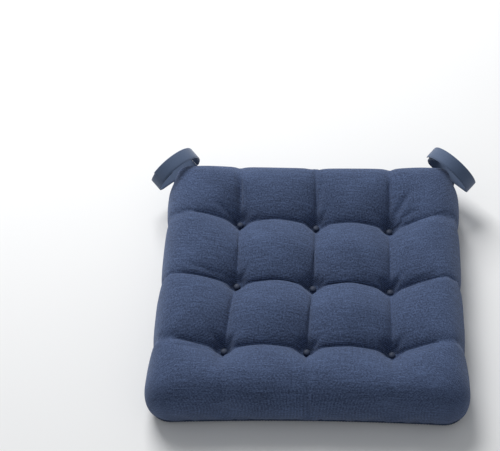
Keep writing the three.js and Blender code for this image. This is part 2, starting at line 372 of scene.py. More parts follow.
pad = {
    "cell": 5.5 * mm,
    "swell": 2.0 * mm,              # the sheet starts this much smaller, and the filling pushes it out
    "frontRadius": 34 * mm,
    "rearRadius": 58 * mm,
    "crownRadius": 12 * mm,         # the plump rear corners are squarer on top than at the wall
    "sidePull": 7 * mm,             # the sides bow in this much between their corners
    "bulgeLevel": 30 * mm,
    "shoulderReach": 44 * mm,
    "shoulderFullness": 2.3,        # 2 is an ellipse, more is squarer
    "footReach": 14 * mm,
    "puffHalfWidth": 55 * mm,       # from a valley to the puff's middle, across and deep
    "puffHalfDepth": 54 * mm,
    "puffRise": 4.5 * mm,           # the puffs stand this far above the plain pad
    "valleyShare": 0.56,            # depth of a valley midway between two tufts, of a tuft's depth
    "wallShare": 0.10,              # what is left of a valley's depth where it runs over the wall
    "valleyPower": 0.7,
    "valleyGrading": 0.62,          # 0 is an even grid, near 1 crowds it into the valleys
    "tuftFloor": 5.0 * mm,          # radius of the flat bottom under a button
    "tuftReach": 13 * mm,           # from there, how far the dimple opens
    "frontFade": 0.5,               # how soon a column's valley ends in front, of the way to the edge
    "clothThickness": 1.2 * mm,
    "fillDepth": 6 * mm,            # the filling's top lies this far below the cloth
    "fillInset": 3 * mm,            # and this far in from the walls
    "fillLift": 1.8 * mm,           # and this far above the underside
    "fillWallStart": 0.74,          # of the way to the edge, where the walls' share begins
    "fillWallFade": 0.18,
    "underOpen": 26 * mm,           # how far a dimple of the underside opens
    "seamGap": 0.5 * mm,            # from the seam's middle to the edge of each cover
}

clothRun = {
    "frames": 22,
    "pullFrame": 10,
    "pull": 4.5 * mm,               # the twines draw the tufts down by this much
    "pressure": 9.0,
    "shrink": -0.015,
    "bending": 1.2,
    "tension": 15.0,
    "mostMove": 3.5 * mm,
}

rows = ["back", "middle", "front"]
columns = ["left", "centre", "right"]


def tuftPlace(kind, row, column):
    low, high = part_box(f"{kind}_{row}_{column}")
    return (low[0] + high[0]) / 2 - centre[0], (low[1] + high[1]) / 2 - centre[1], low[2], high[2]


tuftGrid = [[tuftPlace("top_button", row, column) for column in columns] for row in rows]
columnLines = [sum(tuftGrid[row][c][0] for row in range(3)) / 3 for c in range(3)]
rowLines = [sum(tuft[1] for tuft in tuftGrid[row]) / 3 for row in (2, 1, 0)]
seatLevel = tuftGrid[0][0][2] - 0.3 * mm
seamLevel = (seamLow[2] + seamHigh[2]) / 2
crownLevel = coverHigh[2] + pad["puffRise"]
underLevel = tuftPlace("under_button", "middle", "centre")[3] + 0.3 * mm


def drift(x, y):
    # How far the cloth lies off the even grid, since each tuft was sewn a little off its crossing.
    moveX = 0
    moveY = 0
    for r, row in enumerate((2, 1, 0)):
        for c in range(3):
            share = np.interp(x, columnLines, np.eye(3)[c]) * np.interp(y, rowLines, np.eye(3)[r])
            moveX = moveX + share * (tuftGrid[row][c][0] - columnLines[c])
            moveY = moveY + share * (tuftGrid[row][c][1] - rowLines[r])
    edge = np.maximum(np.abs(x) / halfWidth, np.abs(y) / halfDepth)
    hold = 1 - smooth((edge - 0.6) / 0.38)
    return np.stack([moveX * hold, moveY * hold, 0 * hold], 1)


def fold(x, y, halfX, halfY, rear, front):    # rounds the corners of a rectangle of points
    radius = rear if y > 0 else front
    coreX = max(-halfX + radius, min(halfX - radius, x))
    coreY = max(-halfY + radius, min(halfY - radius, y))
    offX = x - coreX
    offY = y - coreY
    if offX and offY:
        ratio = max(abs(offX), abs(offY)) / math.hypot(offX, offY)
        offX *= ratio
        offY *= ratio
    return coreX + offX, coreY + offY


def bowSides(places):                         # draws the sides in between their corners
    bowed = places.copy()
    acrossShare = np.clip(places[:, 0] / halfWidth, -1, 1)
    depthShare = np.clip(places[:, 1] / halfDepth, -1, 1)
    bowed[:, 0] -= pad["sidePull"] * np.sign(acrossShare) * acrossShare ** 4 * (1 - depthShare ** 2)
    bowed[:, 1] -= pad["sidePull"] * np.sign(depthShare) * depthShare ** 4 * (1 - acrossShare ** 2)
    return bowed


def steps(low, high, cell, atLow=0.0, atHigh=0.0):
    # Evenly counted steps, without the last, drawn closer together at the ends that lie on a valley.
    count = max(2, round((high - low) / cell))
    found = []
    for i in range(count):
        t = i / count
        if atLow and atHigh:
            t -= atLow * math.sin(2 * math.pi * t) / (2 * math.pi)
        elif atLow:
            t -= atLow * math.sin(math.pi * t) / math.pi
        elif atHigh:
            t += atHigh * math.sin(math.pi * t) / math.pi
        found.append(low + (high - low) * t)
    return found


def evenRings(fine, cell):                    # (inset, level, length along the cloth) at even steps
    lengths = [0.0]
    for before, after in zip(fine, fine[1:]):
        lengths.append(lengths[-1] + math.dist(before, after))
    count = round(lengths[-1] / cell)
    wanted = [lengths[-1] * i / count for i in range(1, count + 1)]
    insets = np.interp(wanted, lengths, [inset for inset, level in fine])
    levels = np.interp(wanted, lengths, [level for inset, level in fine])
    return list(zip(insets, levels, wanted))


def footProfile(low, high):                   # the rounded lower edge, between two levels
    angles = np.linspace(math.asin(1 - low / pad["bulgeLevel"]), math.asin(1 - high / pad["bulgeLevel"]), 40)
    return [(pad["footReach"] * (1 - math.cos(a)), pad["bulgeLevel"] * (1 - math.sin(a))) for a in angles]


def shoulderRings(cell):                      # from the crown's edge down to the seam
    power = 2 / pad["shoulderFullness"]
    rise = crownLevel - pad["bulgeLevel"]
    fine = []
    for i in range(121):
        angle = math.pi / 2 * (1 - i / 120)
        inset = pad["shoulderReach"] * (1 - math.cos(angle) ** power)
        fine.append((inset, pad["bulgeLevel"] + rise * math.sin(angle) ** power))
    fine += footProfile(seamLevel + pad["seamGap"], pad["bulgeLevel"])[::-1][1:]
    return evenRings(fine, cell)


def footRings(cell):                          # from the flat underside up to the seam
    return evenRings(footProfile(0, seamLevel - pad["seamGap"]), cell * 0.6)


def nearness(distance, reach):                # 1 on a line of tufts, 0 midway, steep beside the line
    share = np.clip(np.abs(distance) / reach, 0, 1)
    return (1 - np.sqrt(share * (2 - share))) ** pad["valleyPower"]


def smooth(value):
    value = np.clip(value, 0, 1)
    return value * value * (3 - 2 * value)


def valleys(x, y):
    # How far down the cloth lies, as a share of a tuft's depth, at points in plan.
    toColumns = x - np.array(columnLines)[:, None]
    nearestX = np.take_along_axis(toColumns, np.argmin(np.abs(toColumns), axis=0)[None], axis=0)[0]
    toRows = y - np.array(rowLines)[:, None]
    nearestY = np.take_along_axis(toRows, np.argmin(np.abs(toRows), axis=0)[None], axis=0)[0]
    beyondX = np.maximum(columnLines[0] - x, x - columnLines[2])
    beyondY = np.maximum(rowLines[0] - y, y - rowLines[2])
    roomX = np.where(x < 0, halfWidth + columnLines[0], halfWidth - columnLines[2])
    roomY = np.where(y < 0, halfDepth + rowLines[0], halfDepth - rowLines[2])
    fadeX = smooth(beyondX / roomX)
    fadeY = smooth(beyondY / (roomY * np.where(y < 0, pad["frontFade"], 1)))
    columnNear = nearness(nearestX, pad["puffHalfWidth"])
    rowNear = nearness(nearestY, pad["puffHalfDepth"])
    keepRow = 1 + (pad["wallShare"] - 1) * fadeX
    keepColumn = 1 + (pad["wallShare"] - 1) * fadeY
    share = pad["valleyShare"]
    depth = share * (keepColumn * columnNear ** (1 + fadeY) + keepRow * rowNear ** (1 + fadeX)) \
        + (1 - 2 * share) * columnNear * rowNear
    toTuft = np.hypot(nearestX, nearestY)
    pit = (1 - np.clip((toTuft - pad["tuftFloor"]) / pad["tuftReach"], 0, 1)) ** 1.6
    return depth + (1 - depth) * pit


def planGrid(top):
    # The crown in plan: a grid whose lines run through the tufts, its faces, and its border.
    innerX = halfWidth - pad["swell"] - pad["shoulderReach"]
    innerY = halfDepth - pad["swell"] - pad["shoulderReach"]
    tight = pad["valleyGrading"]
    ends = [(0, tight), (tight, tight), (tight, tight), (tight, 0)]

    def gridLines(keys):
        found = []
        for low, high, (atLow, atHigh) in zip(keys, keys[1:], ends):
            found += steps(low, high, pad["cell"], atLow, atHigh)
        return found + [keys[-1]]

    gridY = gridLines([-innerY, *rowLines, innerY])
    gridX = gridLines([-innerX, *columnLines, innerX])
    share = innerX / (halfWidth - pad["swell"])
    raw = [(x, y) for y in gridY for x in gridX]
    front = pad["frontRadius"] * share
    rear = pad["rearRadius"] * share
    crown = [fold(x, y, innerX, innerY, pad["crownRadius"] if top else rear, front) for x, y in raw]
    tall = len(gridY)
    wide = len(gridX)
    faces = []
    for j in range(tall - 1):
        for a in range(j * wide, j * wide + wide - 1):
            faces.append((a, a + 1, a + 1 + wide, a + wide))
    border = list(range(wide - 1)) + [(j + 1) * wide - 1 for j in range(tall - 1)] \
        + list(range(tall * wide - 1, (tall - 1) * wide, -1)) + [j * wide for j in range(tall - 1, 0, -1)]
    wall = [fold(*raw[i], innerX, innerY, rear, front) for i in border]
    return crown, faces, border, wall, innerX, innerY


def coverSheet(top):
    # One cover as a sheet: the grid over the crown or the underside, then rings along the wall.
    crown, faces, border, wall, innerX, innerY = planGrid(top)
    width = halfWidth - pad["swell"]
    depth = halfDepth - pad["swell"]
    rings = shoulderRings(pad["cell"]) if top else footRings(pad["cell"])
    outline = [crown[i] for i in border]
    level = crownLevel
    if not top:                               # the underside spreads the same grid to the wall's foot
        level = 0
        spread = []
        for x, y in crown:
            near = smooth(max(abs(x) / innerX, abs(y) / innerY) * 2.4 - 1.4)
            spread.append((x * (1 + near * ((width - pad["footReach"]) / innerX - 1)),
                           y * (1 + near * ((depth - pad["footReach"]) / innerY - 1))))
        crown = spread
    places = [(x, y, level) for x, y in crown]
    flat = list(crown)
    outward = []
    for k in range(len(outline)):
        before = Vector(outline[k - 1])
        along = (Vector(outline[(k + 1) % len(outline)]) - before).normalized()
        outward.append((along.y, -along.x))
    previous = border
    for inset, level, length in rings:
        ring = list(range(len(places), len(places) + len(outline)))
        for i, (awayX, awayY) in zip(border, outward):
            x, y = crown[i]
            flat.append((x + awayX * length, y + awayY * length))
        rounding = 1 - float(smooth((level - 50 * mm) / (crownLevel - 54 * mm)))
        for (x, y), (wallX, wallY) in zip(outline, wall):
            x += (wallX - x) * rounding
            y += (wallY - y) * rounding
            places.append((x * (width - inset) / innerX, y * (depth - inset) / innerY, level))
        for k in range(len(ring)):
            n = (k + 1) % len(ring)
            faces.append((previous[k], ring[k], ring[n], previous[n]))
        previous = ring
    places = bowSides(np.array(places))
    if not top:
        faces = [face[::-1] for face in faces]
    return places, np.array(flat), faces, previous


def tuftedPlaces(places, faces):
    # Sinks the valleys: straight down on the crown, inward on the wall.
    mesh = meshFrom("tuftGuide", places, faces)
    normals = np.array([vertex.normal for vertex in mesh.vertices])
    bpy.data.meshes.remove(mesh)
    plumb = smooth((places[:, 2] - 40 * mm) / (30 * mm))[:, None]
    direction = normals * (1 - plumb) + np.array([0, 0, 1.0]) * plumb
    direction /= np.linalg.norm(direction, axis=1)[:, None]
    depth = valleys(places[:, 0], places[:, 1]) * (crownLevel - seatLevel)
    depth *= smooth((places[:, 2] - seamLevel) / (30 * mm))
    return places - direction * depth[:, None] + drift(places[:, 0], places[:, 1])


def meshFrom(name, places, faces):
    mesh = bpy.data.meshes.new(name)
    mesh.from_pydata([tuple(place) for place in places], [], faces)
    mesh.update()
    return mesh


def pieceFrom(name, places, faces):
    piece = bpy.data.objects.new(name, meshFrom(name, places, faces))
    bpy.context.scene.collection.objects.link(piece)
    return piece


def pickOnly(piece):
    bpy.ops.object.select_all(action="DESELECT")
    piece.select_set(True)
    bpy.context.view_layer.objects.active = piece


def shadeSmooth(piece):
    for polygon in piece.data.polygons:
        polygon.use_smooth = True


def cornersOf(piece):                         # a piece's corners and their outward directions
    vertices = piece.data.vertices
    return np.array([vertex.co for vertex in vertices]), np.array([vertex.normal for vertex in vertices])


def putCorners(piece, places):
    piece.data.vertices.foreach_set("co", np.array(places).ravel())
    piece.data.update()


def extrudeBy(step, wide=1.0):                # in edit mode: draws the selection out, then resizes its end
    bpy.ops.mesh.extrude_region_move(TRANSFORM_OT_translate={"value": step})
    if wide != 1.0:
        bpy.ops.transform.resize(value=(wide, wide, 1))


def applyAll(piece):
    pickOnly(piece)
    for modifier in list(piece.modifiers):
        bpy.ops.object.modifier_apply(modifier=modifier.name)


def settleCloth(places, faces, held, tuftPins):
    # Blender's cloth under the filling's pressure, while the twines draw the tufts down.
    piece = pieceFrom("clothRun", places, faces)
    pins = piece.vertex_groups.new(name="pins")
    pins.add([int(i) for i in held], 1.0, "REPLACE")
    pins.add([int(i) for i in tuftPins], 1.0, "REPLACE")
    piece.shape_key_add(name="Basis")
    drawn = piece.shape_key_add(name="drawn")
    for i in tuftPins:
        drawn.data[int(i)].co.z -= clothRun["pull"]
    drawn.value = 0
    drawn.keyframe_insert("value", frame=1)
    drawn.value = 1
    drawn.keyframe_insert("value", frame=clothRun["pullFrame"])
    modifier = piece.modifiers.new("cloth", "CLOTH")
    settings = modifier.settings
    settings.quality = 5
    settings.mass = 0.3
    settings.tension_stiffness = clothRun["tension"]
    settings.compression_stiffness = clothRun["tension"]
    settings.shear_stiffness = 5
    settings.bending_stiffness = clothRun["bending"]
    settings.air_damping = 1
    settings.use_pressure = True
    settings.uniform_pressure_force = clothRun["pressure"]
    settings.shrink_min = clothRun["shrink"]
    settings.effector_weights.gravity = 0
    settings.vertex_group_mass = "pins"
    modifier.collision_settings.use_collision = False
    modifier.point_cache.frame_start = 1
    modifier.point_cache.frame_end = clothRun["frames"]
    scene = bpy.context.scene
    for number in range(1, clothRun["frames"] + 1):
        scene.frame_set(number)
    settled = piece.evaluated_get(bpy.context.evaluated_depsgraph_get())
    result = np.array([vertex.co for vertex in settled.data.vertices])
    mesh = piece.data
    bpy.data.objects.remove(piece)
    bpy.data.meshes.remove(mesh)
    scene.frame_set(1)
    move = result - places
    far = np.linalg.norm(move, axis=1)
    move *= (np.minimum(far, clothRun["mostMove"]) / np.maximum(far, 1e-9))[:, None]
    print("cloth settled: moved", round(float(far.max()) / mm, 1), "mm at most")
    return places + move


def addFlatMap(piece, flat):                  # a UV map in metres, from the cloth before it was tufted
    layer = piece.data.uv_layers.new(name="flatCloth")
    loops = np.empty(len(piece.data.loops), dtype=np.int32)
    piece.data.loops.foreach_get("vertex_index", loops)
    layer.data.foreach_set("uv", flat[loops].astype(np.float32).ravel())


def finishCover(name, places, flat, faces, top):
    # Puts a settled sheet in place, rounds it once, puckers its seam and gives it its thickness.
    piece = pieceFrom(name, places + np.array([centre[0], centre[1], 0]), faces)
    addFlatMap(piece, flat)
    piece.modifiers.new("round", "SUBSURF").levels = 1
    applyAll(piece)
    if top:
        creaseCloth(piece)
    puckerSeam(piece)
    thickness = piece.modifiers.new("thickness", "SOLIDIFY")
    thickness.thickness = pad["clothThickness"]
    thickness.offset = -1
    applyAll(piece)
    shadeSmooth(piece)
    return piece


def puckerSeam(piece):                        # small gathers that fade away from the seam
    places, normals = cornersOf(piece)
    turn = np.arctan2(places[:, 1] - centre[1], places[:, 0] - centre[0])
    near = np.exp(-np.abs(places[:, 2] - seamLevel) / (gathers["reach"]))
    outside = smooth((np.maximum(np.abs(places[:, 0] - centre[0]) / halfWidth,
                                 np.abs(places[:, 1] - centre[1]) / halfDepth) - 0.86) / 0.08)
    wave = sum(height * np.sin(count * turn + phase) for count, height, phase in gathers["waves"])
    strength = 0.6 + 0.4 * np.sin(5 * turn + 1.3) * np.sin(3 * turn)
    places += normals * (wave * strength * near * outside * gathers["depth"])[:, None]
    putCorners(piece, places)


creases = [                                   # tuft row, column, angle, from, to, depth, half width
    (0, 2, 58, 12 * mm, 66 * mm, 3.2 * mm, 4.5 * mm),
    (0, 2, 20, 14 * mm, 48 * mm, 1.6 * mm, 4.0 * mm),
    (0, 0, 97, 14 * mm, 92 * mm, 1.8 * mm, 4.0 * mm),
    (0, 0, 150, 12 * mm, 52 * mm, 1.6 * mm, 4.0 * mm),
    (0, 1, 84, 20 * mm, 84 * mm, 1.4 * mm, 4.0 * mm),
    (1, 0, 168, 12 * mm, 80 * mm, 1.6 * mm, 4.0 * mm),
    (1, 2, 9, 12 * mm, 70 * mm, 1.5 * mm, 4.0 * mm),
    (2, 0, 196, 12 * mm, 70 * mm, 1.8 * mm, 4.5 * mm),
    (2, 0, 262, 12 * mm, 60 * mm, 1.4 * mm, 4.0 * mm),
    (2, 1, 276, 12 * mm, 74 * mm, 1.5 * mm, 4.0 * mm),
    (2, 2, 285, 12 * mm, 60 * mm, 1.3 * mm, 4.0 * mm),
    (2, 2, 350, 12 * mm, 72 * mm, 1.6 * mm, 4.5 * mm),
]


def creaseCloth(piece):
    # Folds running out from the tufts, and short fine ones all round each tuft.
    draw = random.Random(5)
    folds = list(creases)
    for row in range(3):
        for c in range(3):
            for k in range(7):
                angle = k * 360 / 7 + draw.uniform(-18, 18)
                folds.append((row, c, angle, 6 * mm, draw.uniform(20, 34) * mm, draw.uniform(0.5, 1.3) * mm,
                              draw.uniform(2.2, 3.2) * mm))
    places, normals = cornersOf(piece)
    sink = np.zeros(len(places))
    for row, c, angle, start, end, depth, width in folds:
        tuft = tuftGrid[row][c]
        offX = places[:, 0] - centre[0] - tuft[0]
        offY = places[:, 1] - centre[1] - tuft[1]
        turn = math.radians(angle)
        along = offX * math.cos(turn) + offY * math.sin(turn)
        aside = -offX * math.sin(turn) + offY * math.cos(turn)
        aside = aside - 2.5 * mm * np.sin(along / (22 * mm) + angle)
        run = np.clip((along - start) / (end - start), 0, 1)
        sink += depth * np.sin(math.pi * run ** 0.8) * np.exp(-(aside / width) ** 2)
    places -= normals * (sink * (places[:, 2] > 30 * mm))[:, None]
    putCorners(piece, places)


gathers = {
    "depth": 1.0 * mm,
    "reach": 11 * mm,
    "waves": [(57, 0.45, 0.4), (83, 0.5, 2.1), (118, 0.4, 4.0), (151, 0.35, 1.1)],
}


def makeTopCover():
    places, flat, faces, seamLoop = coverSheet(True)
    tufted = tuftedPlaces(places, faces)
    tuftPins = []
    for line in tuftGrid:
        for x, y, low, high in line:
            reach = np.hypot(places[:, 0] - x, places[:, 1] - y)
            near = np.where(reach < pad["tuftFloor"])[0]
            tufted[near, 2] = seatLevel + clothRun["pull"]
            tuftPins += list(near)
    tufted = settleCloth(tufted, faces, seamLoop, tuftPins)
    return finishCover("topCover", tufted, flat, faces, True), tufted, faces


def makeBottomCover():
    places, flat, faces, seamLoop = coverSheet(False)
    for row in rows:
        for column in columns:
            x, y, low, high = tuftPlace("under_button", row, column)
            offX = places[:, 0] - x
            offY = places[:, 1] - y
            reach = np.hypot(offX, offY)
            share = np.clip((reach - 4 * mm) / pad["underOpen"], 0, 1)
            folds = 1 + 0.16 * np.sin(9 * np.arctan2(offY, offX) + 20 * x) * share
            places[:, 2] += underLevel * (1 - share) ** 1.9 * folds * (places[:, 2] < 1 * mm)
    return finishCover("bottomCover", places, flat, faces, False), places, faces


def makeFill(topPlaces, topFaces, lowPlaces, lowFaces):
    # The fibre follows the covers from inside, a little way in from the cloth.
    places = np.concatenate([topPlaces, lowPlaces])
    faces = topFaces + [tuple(i + len(topPlaces) for i in face) for face in lowFaces]
    piece = pieceFrom("fibreFill", places + np.array([centre[0], centre[1], 0]), faces)
    weld = piece.modifiers.new("weld", "WELD")
    weld.merge_threshold = 2.6 * pad["seamGap"]
    applyAll(piece)
    inner = []
    for vertex in piece.data.vertices:        # in from the wall, and straight down or up elsewhere
        edge = max(abs(vertex.co.x - centre[0]) / halfWidth, abs(vertex.co.y - centre[1]) / halfDepth)
        share = float(smooth((edge - pad["fillWallStart"]) / pad["fillWallFade"]))
        plumb = Vector((0, 0, pad["fillDepth"] if vertex.normal.z > 0 else -pad["fillLift"]))
        inner.append(vertex.co - plumb * (1 - share) - vertex.normal * (pad["fillInset"] * share))
    piece.data.vertices.foreach_set("co", np.array(inner).ravel())
    creaseCloth(piece)
    shadeSmooth(piece)
    return piece


topCover, topPlaces, topFaces = makeTopCover()
dress(topCover, coverFinish, "pad", "cover", "top_cover")
print("top cover made:", len(topCover.data.polygons), "faces")

bottomCover, lowPlaces, lowFaces = makeBottomCover()
dress(bottomCover, undersideFinish, "pad", "underside", "bottom_cover")
fibreFill = makeFill(topPlaces, topFaces, lowPlaces, lowFaces)
dress(fibreFill, fillFinish, "pad", "fill", "fibre_fill")
print("bottom cover and filling made")

# ---- the seam ----

seam = {
    "points": 480,                  # along the whole seam
    "proud": 0.5 * mm,              # the pressed edges stand this far out of the groove
    "thickness": 1.3 * mm,
    "depth": 9 * mm,
    "waver": 0.35 * mm,
    "stitchPitch": 4.0 * mm,
    "stitchLength": 2.9 * mm,
    "stitchRadius": 0.35 * mm,
}


def seamLine(inset, count):                   # evenly spaced points round the seam, and outward directions
    dense = []
    width = halfWidth - inset
    depth = halfDepth - inset
    for sideX, sideY, start in ((1, 1, 0), (-1, 1, 90), (-1, -1, 180), (1, -1, 270)):
        radius = pad["rearRadius" if sideY > 0 else "frontRadius"] * (1 - inset / halfWidth)
        for step in range(41):
            angle = math.radians(start + 90 * step / 40)
            dense.append((sideX * (width - radius) + radius * math.cos(angle),
                          sideY * (depth - radius) + radius * math.sin(angle)))
    closed = []
    for here, ahead in zip(dense, dense[1:] + dense[:1]):
        closed += [(here[0] + (ahead[0] - here[0]) * t / 12, here[1] + (ahead[1] - here[1]) * t / 12)
                   for t in range(12)]
    closed = bowSides(np.array([(x, y, 0.0) for x, y in closed]))[:, :2]
    lengths = np.concatenate([[0], np.cumsum(np.linalg.norm(np.roll(closed, -1, 0) - closed, axis=1))])
    wanted = np.arange(count) * lengths[-1] / count
    loop = np.vstack([closed, closed[:1]])
    line = np.stack([np.interp(wanted, lengths, loop[:, axis]) for axis in (0, 1)], 1)
    along = np.roll(line, -1, 0) - np.roll(line, 1, 0)
    along /= np.linalg.norm(along, axis=1)[:, None]
    return line + np.array(centre), np.stack([along[:, 1], -along[:, 0]], 1), lengths[-1]


def makeSeam():
    # The two pressed cloth edges, wavering a little up and down, as one closed ribbon.
    line, outward, length = seamLine(seamInset + pad["swell"] * 0.5, seam["points"])
    profile = [(1.0, 0.2), (0.85, 0.5), (-1.0, 0.5), (-1.0, -0.5), (0.85, -0.5), (1.0, -0.2)]
    places = []
    for k, ((x, y), (awayX, awayY)) in enumerate(zip(line, outward)):
        turn = 2 * math.pi * k / seam["points"]
        lift = seam["waver"] * (math.sin(31 * turn) + 0.6 * math.sin(47 * turn + 1))
        for reach, rise in profile:
            away = seam["proud"] if reach > 0 else -seam["depth"]
            away -= (1 - reach) * 0.5 * mm if reach > 0 else 0
            level = seamLevel + lift * 0.5 + rise * seam["thickness"]
            places.append((x + awayX * away, y + awayY * away, level))
    size = len(profile)
    total = len(places)
    faces = [(k * size + i, (k * size + size + i) % total, (k * size + size + (i + 1) % size) % total,
              k * size + (i + 1) % size) for k in range(seam["points"]) for i in range(size)]
    piece = pieceFrom("perimeterSeam", places, faces)
    turnOutward(piece)
    shadeSmooth(piece)
    return piece


def turnOutward(piece):
    pickOnly(piece)
    bpy.ops.object.mode_set(mode="EDIT")
    bpy.ops.mesh.select_all(action="SELECT")
    bpy.ops.mesh.normals_make_consistent(inside=False)
    bpy.ops.object.mode_set(mode="OBJECT")


def makeStitch(length, radius):               # one stitch: a short thread with tapered ends
    bpy.ops.object.select_all(action="DESELECT")
    bpy.ops.mesh.primitive_cylinder_add(vertices=6, radius=radius, depth=length * 0.6)
    bpy.ops.object.mode_set(mode="EDIT")
    for normal in (1, -1):
        pickFaces(lambda face: face.normal.z * normal > 0.9)
        extrudeBy((0, 0, normal * length * 0.2), 0.35)
    bpy.ops.object.mode_set(mode="OBJECT")
    return bpy.context.object


def pickFaces(test):                          # in edit mode: selects the faces that pass a test
    bpy.ops.mesh.select_mode(type="FACE")
    bpy.ops.mesh.select_all(action="DESELECT")
    mesh = bmesh.from_edit_mesh(bpy.context.object.data)
    for face in mesh.faces:
        face.select = test(face)
    bmesh.update_edit_mesh(bpy.context.object.data)


def layCopies(name, model, matrices):         # one mesh of a model's copies, and the model goes
    pattern = model.data
    layer = bmesh.new()
    for matrix in matrices:
        start = len(layer.verts)
        layer.from_mesh(pattern)
        layer.verts.ensure_lookup_table()
        for vertex in layer.verts[start:]:
            vertex.co = matrix @ vertex.co
    mesh = bpy.data.meshes.new(name)
    layer.to_mesh(mesh)
    layer.free()
    bpy.data.objects.remove(model)
    bpy.data.meshes.remove(pattern)
    piece = bpy.data.objects.new(name, mesh)
    bpy.context.scene.collection.objects.link(piece)
    shadeSmooth(piece)
    return piece


def standAlong(place, along, up):             # a frame whose Z runs along, with its X towards up
    along = Vector(along).normalized()
    side = along.cross(Vector(up)).normalized()
    rise = side.cross(along)
    matrix = Matrix((rise, side, along)).transposed().to_4x4()
    matrix.translation = place
    return matrix


def makeSeamThread():
    line, outward, length = seamLine(seamInset + pad["swell"] * 0.5, 400)
    count = round(length / seam["stitchPitch"])
    line, outward, length = seamLine(seamInset + pad["swell"] * 0.5, count)
    stitch = makeStitch(seam["stitchLength"], seam["stitchRadius"])
    matrices = []
    for (x, y), (awayX, awayY) in zip(line, outward):
        reach = seam["proud"] + seam["stitchRadius"] * 0.3
        place = (x + awayX * reach, y + awayY * reach, seamLevel)
        matrices.append(standAlong(place, (-awayY, awayX, 0.12), (awayX, awayY, 0)))
    return layCopies("seamThread", stitch, matrices)


dress(makeSeam(), undersideFinish, "pad", "thread", "perimeter_seam")
dress(makeSeamThread(), threadFinish, "pad", "thread")
print("seam made")

# ---- buttons ----

button = {
    "radius": 4.8 * mm,
    "rim": 1.1 * mm,
    "height": 4.2 * mm,
    "domeSteps": 4,
}


def makeButtonModel():
    # A domed button: a disc whose face is drawn up in steps to a dome, with a soft rim.
    bpy.ops.object.select_all(action="DESELECT")
    bpy.ops.mesh.primitive_cylinder_add(vertices=28, radius=button["radius"] * 0.86, depth=0.5 * mm,
                                        location=(0, 0, 0.25 * mm))
    bpy.ops.object.transform_apply()
    bpy.ops.object.mode_set(mode="EDIT")
    pickFaces(lambda face: face.normal.z > 0.9)
    extrudeBy((0, 0, button["rim"] * 0.5), 1 / 0.86)
    extrudeBy((0, 0, button["rim"] * 0.5))
    width = 1.0
    level = 0.0
    rise = button["height"] - button["rim"] - 0.5 * mm
    for step in range(1, button["domeSteps"] + 1):
        angle = math.pi / 2 * step / (button["domeSteps"] + 0.6)
        newWidth = math.cos(angle)
        newLevel = rise * math.sin(angle)
        extrudeBy((0, 0, newLevel - level), newWidth / width)
        width = newWidth
        level = newLevel
    bpy.ops.mesh.inset(thickness=button["radius"] * width * 0.5, depth=0.1 * mm)
    bpy.ops.object.mode_set(mode="OBJECT")
    model = bpy.context.object
    model.modifiers.new("soften", "SUBSURF").levels = 1
    applyAll(model)
    shadeSmooth(model)
    return model


def makeButtons():
    model = makeButtonModel()
    for kind, face in (("top", 1), ("under", -1)):
        for row in rows:
            for column in columns:
                x, y, low, high = tuftPlace(f"{kind}_button", row, column)
                mesh = model.data.copy()
                place = Vector((x + centre[0], y + centre[1], low if face > 0 else high))
                turn = Matrix.Rotation(0 if face > 0 else math.pi, 4, "X")
                mesh.transform(Matrix.Translation(place) @ turn)
                piece = bpy.data.objects.new(f"{kind}Button.{row}.{column}", mesh)
                bpy.context.scene.collection.objects.link(piece)
                dress(piece, buttonFinish, "pad", "button", f"{kind}_button_{row}_{column}")
    bpy.data.objects.remove(model)


makeButtons()
for row in rows:
    for column in columns:
        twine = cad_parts[f"tufting_twine_{row}_{column}"]
        twine.data.materials.clear()
        twine.data.materials.append(threadFinish)
print("buttons made")

# ---- straps ----

strap = {
    "width": 20 * mm,
    "thickness": 1.2 * mm,
    "lean": math.radians(20),       # the loop leans in over the pad
    "offset": 9 * mm,               # from the corner's wall to the middle of the straight run
    "chordLevel": 45 * mm,
    "archRadius": 40.5 * mm,
    "archCentre": (2.5 * mm, 8 * mm),
    "archStart": 30,                # degrees, at the free end
    "archEnd": 187,                 # degrees, at the fold
    "foldRadius": 3 * mm,
    "tapeWidth": 17 * mm,
    "tapeThickness": 1.0 * mm,
    "tapeStart": 32.2,
    "tapeSpan": 30,
    "gap": 0.3 * mm,
    "edgeRoll": 0.35 * mm,          # how far the flap's edges curl over
    "backing": 0.45 * mm,           # of a tape's thickness, the rest is its pile
    "stitchInset": 1.8 * mm,
    "stitchPitch": 2.6 * mm,
    "stitchLength": 1.9 * mm,
    "stitchRadius": 0.2 * mm,
    "hookPitch": 1.15 * mm,
}


def arc(middle, radius, start, end, count):   # points on an arc, its angles in degrees
    angles = [math.radians(start + (end - start) * i / count) for i in range(count + 1)]
    return [(middle[0] + radius * math.cos(a), middle[1] + radius * math.sin(a)) for a in angles]


